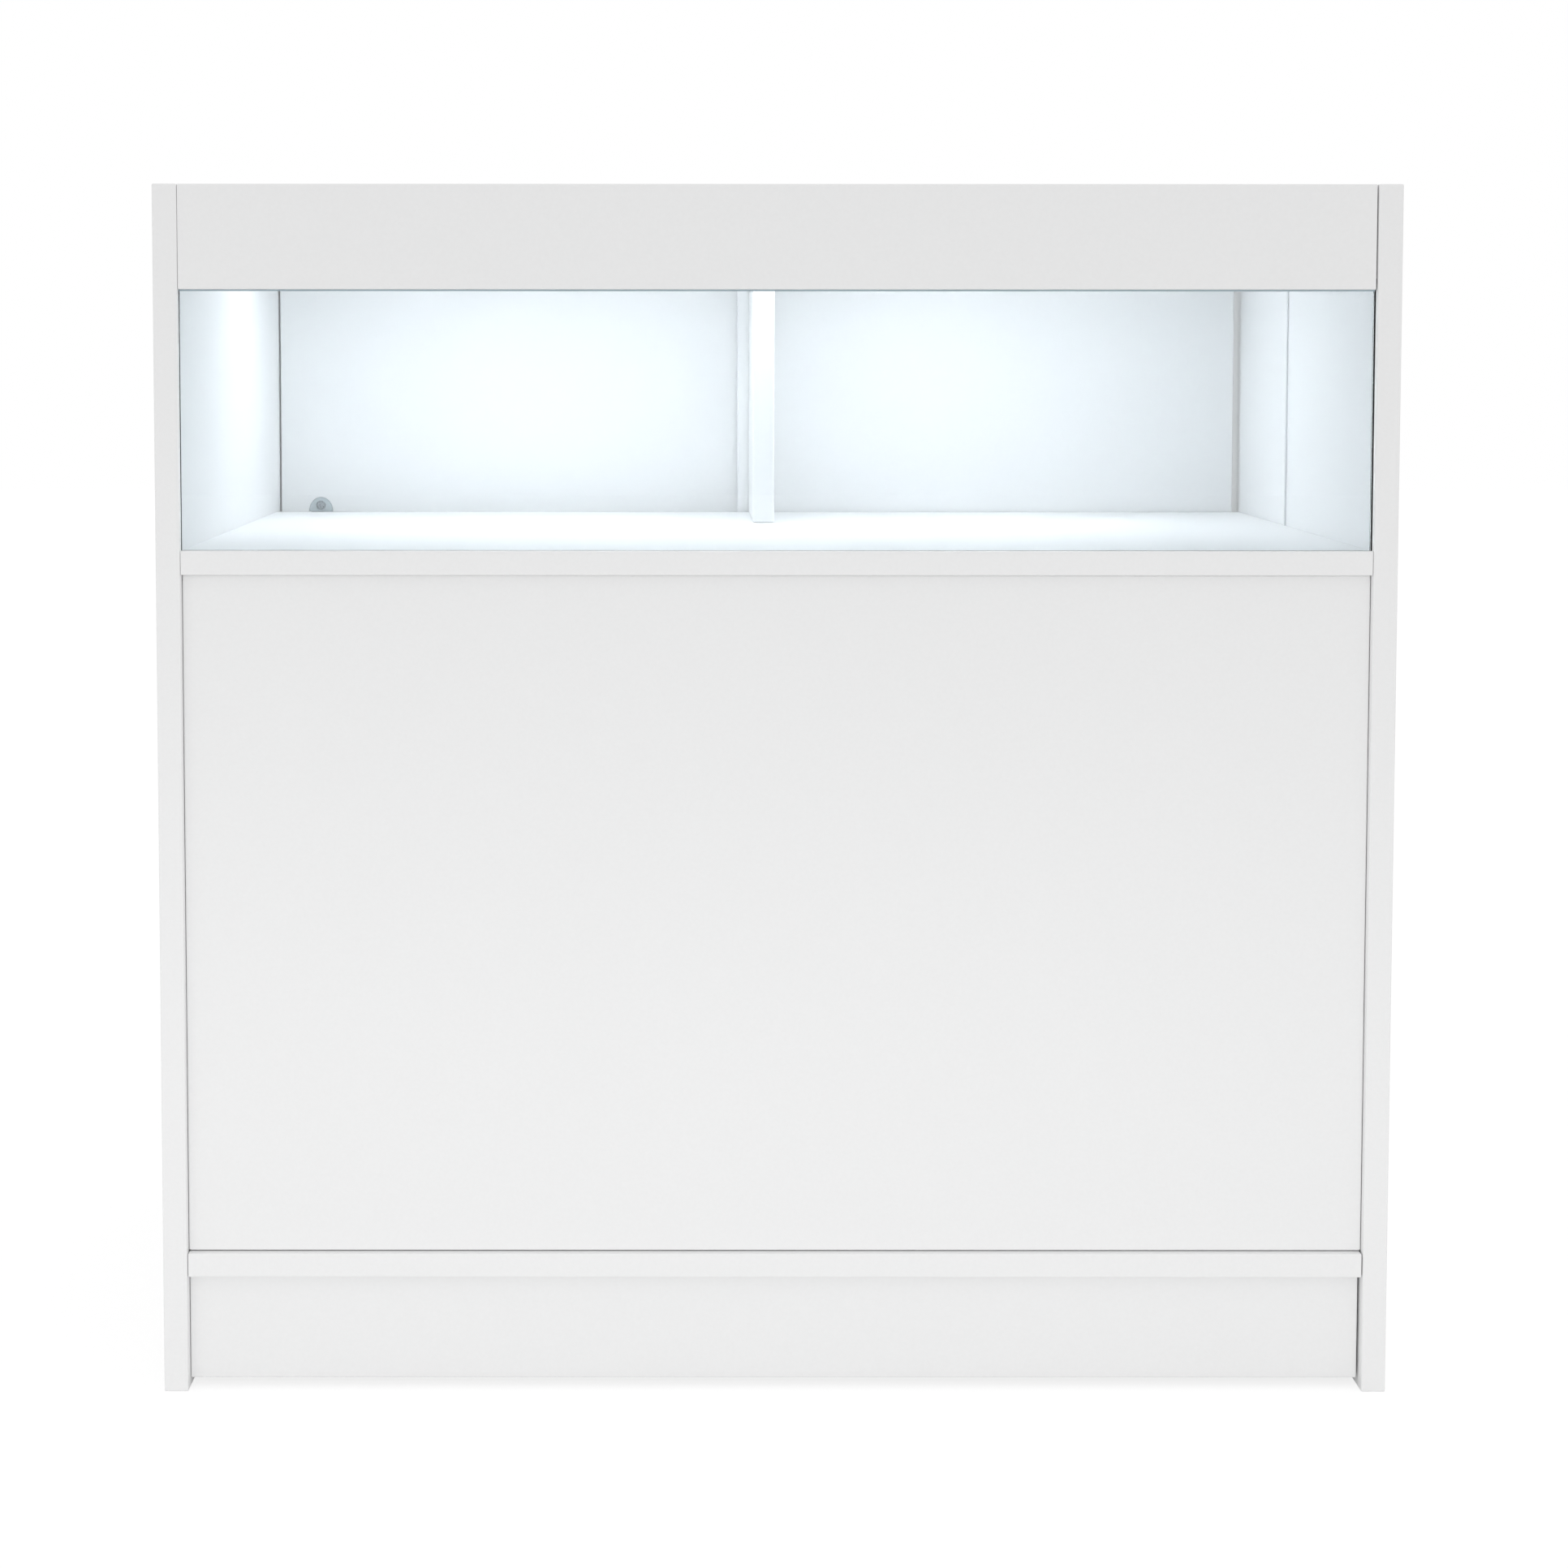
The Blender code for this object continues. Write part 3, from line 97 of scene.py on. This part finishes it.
class Material:
    """A Principled material whose pattern is made of nodes in the counter's own coordinates."""

    def __init__(self, name, colour, roughness, metallic=0.0):
        self.material = bpy.data.materials.new(name)
        self.material.use_nodes = True
        self.material.diffuse_color = (*colour, 1)
        self.tree = self.material.node_tree
        self.shader = self.tree.nodes["Principled BSDF"]
        self.place = self.tree.nodes.new("ShaderNodeTexCoord").outputs["Object"]
        self.colour = colour
        self.set("Base Color", (*colour, 1))
        self.set("Roughness", roughness)
        self.set("Metallic", metallic)

    def set(self, socket, value):
        self.shader.inputs[socket].default_value = value

    def link(self, output, target):
        self.tree.links.new(output, target)

    def stretched(self, stretch):
        """The counter's coordinates stretched per axis, so that a pattern runs in streaks."""
        mapping = self.tree.nodes.new("ShaderNodeMapping")
        mapping.inputs["Scale"].default_value = stretch
        self.link(self.place, mapping.inputs["Vector"])
        return mapping.outputs["Vector"]

    def noise(self, per_metre, detail=2.0, roughness=0.5, stretch=None):
        """Noise with so many cells to the metre, as a factor from 0 to 1."""
        node = self.tree.nodes.new("ShaderNodeTexNoise")
        node.inputs["Scale"].default_value = per_metre
        node.inputs["Detail"].default_value = detail
        node.inputs["Roughness"].default_value = roughness
        self.link(self.stretched(stretch) if stretch else self.place, node.inputs["Vector"])
        return node.outputs["Fac"]

    def between(self, factor, low, high, from_low=0.3, from_high=0.7):
        """Maps a factor onto low to high."""
        node = self.tree.nodes.new("ShaderNodeMapRange")
        node.inputs["From Min"].default_value = from_low
        node.inputs["From Max"].default_value = from_high
        node.inputs["To Min"].default_value = low
        node.inputs["To Max"].default_value = high
        self.link(factor, node.inputs["Value"])
        return node.outputs["Result"]

    def mottle(self, factor, shade):
        """Lets the colour vary between itself and a darker shade of itself."""
        mix = self.tree.nodes.new("ShaderNodeMix")
        mix.data_type = "RGBA"
        mix.inputs["A"].default_value = (*self.colour, 1)
        mix.inputs["B"].default_value = (*[part * shade for part in self.colour], 1)
        self.link(self.between(factor, 0, 1), mix.inputs["Factor"])
        self.link(mix.outputs["Result"], self.shader.inputs["Base Color"])

    def math(self, operation, *values):
        """A Math node's value. Each of the values is a number or an output."""
        node = self.tree.nodes.new("ShaderNodeMath")
        node.operation = operation
        for value, target in zip(values, node.inputs):
            if isinstance(value, (int, float)):
                target.default_value = value
            else:
                self.link(value, target)
        return node.outputs["Value"]

    def paint_over(self, factor, colour):
        """Puts a colour over the present one by the factor."""
        target = self.shader.inputs["Base Color"]
        mix = self.tree.nodes.new("ShaderNodeMix")
        mix.data_type = "RGBA"
        self.link(target.links[0].from_socket, mix.inputs["A"])
        mix.inputs["B"].default_value = (*colour, 1)
        self.link(factor, mix.inputs["Factor"])
        self.link(mix.outputs["Result"], target)

    def vary_roughness(self, factor, low, high):
        self.link(self.between(factor, low, high), self.shader.inputs["Roughness"])

    def bump(self, *layers):
        """Adds fine relief. Each layer is (factor, height in metres)."""
        normal = None
        for factor, height in layers:
            node = self.tree.nodes.new("ShaderNodeBump")
            node.inputs["Distance"].default_value = height
            self.link(factor, node.inputs["Height"])
            if normal:
                self.link(normal, node.inputs["Normal"])
            normal = node.outputs["Normal"]
        self.link(normal, self.shader.inputs["Normal"])


def groove_shade_mask(finish):
    """Where the painted shade goes: 1 on the walls of the grooves that hold the front glass, just outside its
    opening, and 0 elsewhere.
    """
    split = finish.tree.nodes.new("ShaderNodeSeparateXYZ")
    finish.link(finish.place, split.inputs["Vector"])
    x, y, z = (split.outputs[axis] for axis in "XYZ")
    middle = (OPENING_LOW + OPENING_HIGH) / 2
    half = (OPENING_HIGH - OPENING_LOW) / 2
    near = [
        finish.math("COMPARE", x, 0.0, OPENING_SIDE + GROOVE_REACH),
        finish.math("COMPARE", y, GROOVE_LINE, GROOVE_HALF),
        finish.math("COMPARE", z, middle, half + GROOVE_REACH),
    ]
    opening = [finish.math("COMPARE", x, 0.0, OPENING_SIDE), finish.math("COMPARE", z, middle, half)]
    total = finish.math("SUBTRACT", 1.0, finish.math("MULTIPLY", *opening))
    for factor in near:
        total = finish.math("MULTIPLY", total, factor)
    return total


def white_board():
    """Melamine facing: a pearl grain of shallow dimples, a faint cloudiness in its sheen, and the raw core in the
    glass's grooves painted near-black as their shade.
    """
    finish = Material("white_board", MELAMINE, 0.48)
    finish.set("Specular IOR Level", 0.30)
    finish.mottle(finish.noise(420, detail=3), 0.985)
    # Painted shade: the raw core on the walls of the glass's grooves is painted near-black, standing for the
    # grooves' shadow
    finish.paint_over(groove_shade_mask(finish), RAW_CORE_AND_SHADE)
    finish.vary_roughness(finish.noise(9), 0.44, 0.52)
    finish.bump((finish.noise(700, detail=1), PEARL_RELIEF), (finish.noise(2400, detail=0), FINE_RELIEF))
    return finish.material


def clear_glass():
    """Float glass, faintly blue-green. Lamps shine through it unbent."""
    finish = Material("clear_glass", GLASS_TINT, 0.0)
    finish.set("IOR", GLASS_IOR)
    finish.set("Transmission Weight", 1.0)
    finish.vary_roughness(finish.noise(14), 0.0, 0.012)
    nodes = finish.tree.nodes
    through = nodes.new("ShaderNodeBsdfTransparent")
    through.inputs["Color"].default_value = (*GLASS_SHADE, 1)
    path = nodes.new("ShaderNodeLightPath")
    mix = nodes.new("ShaderNodeMixShader")
    finish.link(path.outputs["Is Shadow Ray"], mix.inputs["Fac"])
    finish.link(finish.shader.outputs["BSDF"], mix.inputs[1])
    finish.link(through.outputs["BSDF"], mix.inputs[2])
    finish.link(mix.outputs["Shader"], nodes["Material Output"].inputs["Surface"])
    return finish.material


def clear_seal():
    """Milky clear seal on the glass's head, drawn out with fine lines along it."""
    finish = Material("clear_seal", SEAL, 0.30)
    lines = finish.noise(1800, detail=2, stretch=(0.02, 1, 1))
    finish.mottle(lines, 0.93)
    finish.vary_roughness(lines, 0.25, 0.38)
    finish.bump((lines, FINE_RELIEF))
    return finish.material


def aluminium():
    """Anodised extrusion with die lines along its length."""
    finish = Material("aluminium", ALUMINIUM, 0.34, metallic=1.0)
    lines = finish.noise(1600, detail=2, stretch=(0.01, 1, 1))
    finish.vary_roughness(lines, 0.28, 0.42)
    finish.mottle(lines, 0.94)
    finish.bump((lines, FINE_RELIEF))
    return finish.material


def opal_diffuser():
    """Opal cover of the lamp, lit evenly from behind."""
    finish = Material("opal_diffuser", OPAL, 0.45)
    finish.set("Emission Color", (*LED_COLOUR, 1))
    finish.set("Emission Strength", LED_LEVEL)
    finish.mottle(finish.noise(60), 0.985)
    finish.bump((finish.noise(1200, detail=1), FINE_RELIEF))
    return finish.material


def plastic(name, colour, roughness, shade=0.96):
    """Moulded or extruded plastic with a fine grain, its colour uneven down to a shade of itself."""
    finish = Material(name, colour, roughness)
    finish.mottle(finish.noise(90, detail=3), shade)
    finish.vary_roughness(finish.noise(220), roughness - 0.05, roughness + 0.06)
    finish.bump((finish.noise(1500, detail=1), MOULDED_RELIEF))
    return finish.material


def track_plastic():
    """White extruded track, streaked along its length with faint die lines."""
    finish = Material("track_plastic", TRACK, 0.36)
    lines = finish.noise(1400, detail=2, stretch=(0.006, 1, 1))
    finish.mottle(lines, 0.95)
    finish.vary_roughness(lines, 0.30, 0.46)
    finish.bump((lines, FINE_RELIEF))
    return finish.material


def white_nylon():
    """Milky nylon of the glide shoes, which lets a little light into itself."""
    finish = Material("white_nylon", NYLON, 0.34)
    finish.set("Subsurface Weight", 0.25)
    finish.set("Subsurface Radius", (NYLON_DEPTH, NYLON_DEPTH, NYLON_DEPTH))
    finish.set("Subsurface Scale", 1.0)
    finish.mottle(finish.noise(260, detail=3), 0.93)
    finish.bump((finish.noise(900, detail=2), NYLON_RELIEF))
    return finish.material


def zinc_steel():
    """Bright zinc plate, a little streaked and blotchy."""
    finish = Material("zinc_steel", ZINC, 0.30, metallic=1.0)
    finish.mottle(finish.noise(480, detail=4, roughness=0.6), 0.80)
    finish.vary_roughness(finish.noise(900, detail=2), 0.22, 0.42)
    finish.bump((finish.noise(2600, detail=1), FAINT_RELIEF))
    return finish.material


def satin_pull():
    """Satin nickel of the finger pulls, with a fine upright brushing."""
    finish = Material("satin_pull", NICKEL, 0.28, metallic=1.0)
    brushing = finish.noise(2200, detail=2, stretch=(1, 1, 0.02))
    finish.mottle(brushing, 0.90)
    finish.vary_roughness(brushing, 0.22, 0.38)
    finish.bump((brushing, FAINT_RELIEF))
    return finish.material


def dress(nodes):
    """Puts each finish on the nodes whose slot asks for it."""
    finishes = {
        "white_board": white_board(),
        "clear_glass": clear_glass(),
        "clear_seal": clear_seal(),
        "aluminium": aluminium(),
        "opal_diffuser": opal_diffuser(),
        "led_board": plastic("led_board", LED_BOARD, 0.50),
        "grey_plastic": plastic("grey_plastic", GREY, 0.48),
        "track_plastic": track_plastic(),
        "white_nylon": white_nylon(),
        "zinc_steel": zinc_steel(),
        "satin_pull": satin_pull(),
        "white_sleeve": plastic("white_sleeve", SLEEVE, 0.42, shade=0.98),
        "black_socket": plastic("black_socket", SOCKET, 0.42, shade=0.8),
        "block_plastic": plastic("block_plastic", BLOCK, 0.45),
    }
    for part in frame["record"]["subparts"]:
        slot = nodes[part["node"]].material_slots[0]
        slot.material = finishes[part["material_slot"]]


def shown_ray(tree):
    """1 for what the camera, a mirror or clear glass shows, 0 for light that falls on things."""
    path = tree.nodes.new("ShaderNodeLightPath")
    total = path.outputs["Is Camera Ray"]
    for name in ("Is Glossy Ray", "Is Transmission Ray"):
        add = tree.nodes.new("ShaderNodeMath")
        add.operation = "MAXIMUM"
        tree.links.new(total, add.inputs[0])
        tree.links.new(path.outputs[name], add.inputs[1])
        total = add.outputs["Value"]
    return total


def show_apart(tree, lit, shown, output):
    """Lets the camera, mirrors and glass see one shader, while things are lit by the other."""
    mix = tree.nodes.new("ShaderNodeMixShader")
    tree.links.new(shown_ray(tree), mix.inputs["Fac"])
    tree.links.new(lit, mix.inputs[1])
    tree.links.new(shown, mix.inputs[2])
    tree.links.new(mix.outputs["Shader"], output.inputs["Surface"])


def room_level(tree):
    """Strength of the room's light by direction: level all round, and dimmer behind the counter to the left."""
    direction = tree.nodes.new("ShaderNodeTexCoord").outputs["Generated"]
    towards = tree.nodes.new("ShaderNodeVectorMath")
    towards.operation = "DOT_PRODUCT"
    towards.inputs[1].default_value = (-math.sin(REAR_LEFT_AZIMUTH), math.cos(REAR_LEFT_AZIMUTH), 0)
    tree.links.new(direction, towards.inputs[0])
    level = tree.nodes.new("ShaderNodeMapRange")
    level.interpolation_type = "SMOOTHSTEP"
    level.inputs["From Min"].default_value = REAR_LEFT_EDGE
    level.inputs["From Max"].default_value = REAR_LEFT_CORE
    level.inputs["To Min"].default_value = STUDIO_LEVEL
    level.inputs["To Max"].default_value = REAR_LEFT_LEVEL
    tree.links.new(towards.outputs["Value"], level.inputs["Value"])
    return level.outputs["Result"]


def make_world():
    """Soft studio light from all round, on a white background."""
    world = bpy.data.worlds.new("studio")
    world.use_nodes = True
    tree = world.node_tree
    light = tree.nodes["Background"]
    light.inputs["Color"].default_value = (*WHITE, 1)
    tree.links.new(room_level(tree), light.inputs["Strength"])
    shown = tree.nodes.new("ShaderNodeBackground")
    shown.inputs["Color"].default_value = (*WHITE, 1)
    shown.inputs["Strength"].default_value = 1.0
    show_apart(tree, light.outputs["Background"], shown.outputs["Background"], tree.nodes["World Output"])
    bpy.context.scene.world = world


def floor_material():
    """Pale floor that throws light back up, and shows white with the counter's soft shadow."""
    material = bpy.data.materials.new("studio_floor")
    material.use_nodes = True
    tree = material.node_tree
    tree.nodes.remove(tree.nodes["Principled BSDF"])
    lit = tree.nodes.new("ShaderNodeBsdfDiffuse")
    lit.inputs["Color"].default_value = (FLOOR_ALBEDO, FLOOR_ALBEDO, FLOOR_ALBEDO, 1)
    pale = tree.nodes.new("ShaderNodeBsdfDiffuse")
    pale.inputs["Color"].default_value = (FLOOR_SHOWN, FLOOR_SHOWN, FLOOR_SHOWN, 1)
    glow = tree.nodes.new("ShaderNodeEmission")
    glow.inputs["Strength"].default_value = FLOOR_GLOW
    shown = tree.nodes.new("ShaderNodeAddShader")
    tree.links.new(pale.outputs["BSDF"], shown.inputs[0])
    tree.links.new(glow.outputs["Emission"], shown.inputs[1])
    show_apart(tree, lit.outputs["BSDF"], shown.outputs["Shader"], tree.nodes["Material Output"])
    return material


def make_floor():
    """A wide square floor under the counter."""
    reach = FLOOR_REACH
    mesh = bpy.data.meshes.new("studio_floor")
    corners = [(-reach, -reach, 0), (reach, -reach, 0), (reach, reach, 0), (-reach, reach, 0)]
    mesh.from_pydata(corners, [], [(0, 1, 2, 3)])
    mesh.materials.append(floor_material())
    floor = bpy.data.objects.new("studio_floor", mesh)
    bpy.context.collection.objects.link(floor)


def make_lamps():
    """A long low lamp before the counter, so that its front is a little brighter towards the floor."""
    lamp = bpy.data.lights.new("low_front", "AREA")
    lamp.shape = "RECTANGLE"
    lamp.size = LOW_LAMP_LENGTH
    lamp.size_y = LOW_LAMP_HEIGHT
    lamp.energy = LOW_LAMP_WATTS
    low_front = bpy.data.objects.new("low_front", lamp)
    low_front.location = LOW_LAMP_PLACE
    low_front.rotation_euler = Euler((math.radians(90), 0, 0))
    bpy.context.collection.objects.link(low_front)


def make_camera():
    """The photograph's camera: a lens off the frame's centre, pitched a little down."""
    data = bpy.data.cameras.new("camera")
    data.sensor_width = SENSOR_MM
    data.lens = FOCAL_PX / PHOTO * SENSOR_MM
    data.shift_x = (PHOTO / 2 - CENTRE_PX[0]) / PHOTO
    data.shift_y = (CENTRE_PX[1] - PHOTO / 2) / PHOTO
    camera = bpy.data.objects.new("camera", data)
    camera.location = CAMERA_PLACE
    upright = Euler((math.pi / 2 - CAMERA_PITCH, 0, 0)).to_matrix()
    roll = Euler((0, 0, CAMERA_ROLL)).to_matrix()
    camera.rotation_euler = (upright @ roll).to_euler()
    bpy.context.collection.objects.link(camera)
    bpy.context.scene.camera = camera


def main():
    bpy.context.scene.view_settings.view_transform = "Standard"
    make_camera()
    dress(frame["nodes"])
    make_world()
    make_floor()
    make_lamps()


main()
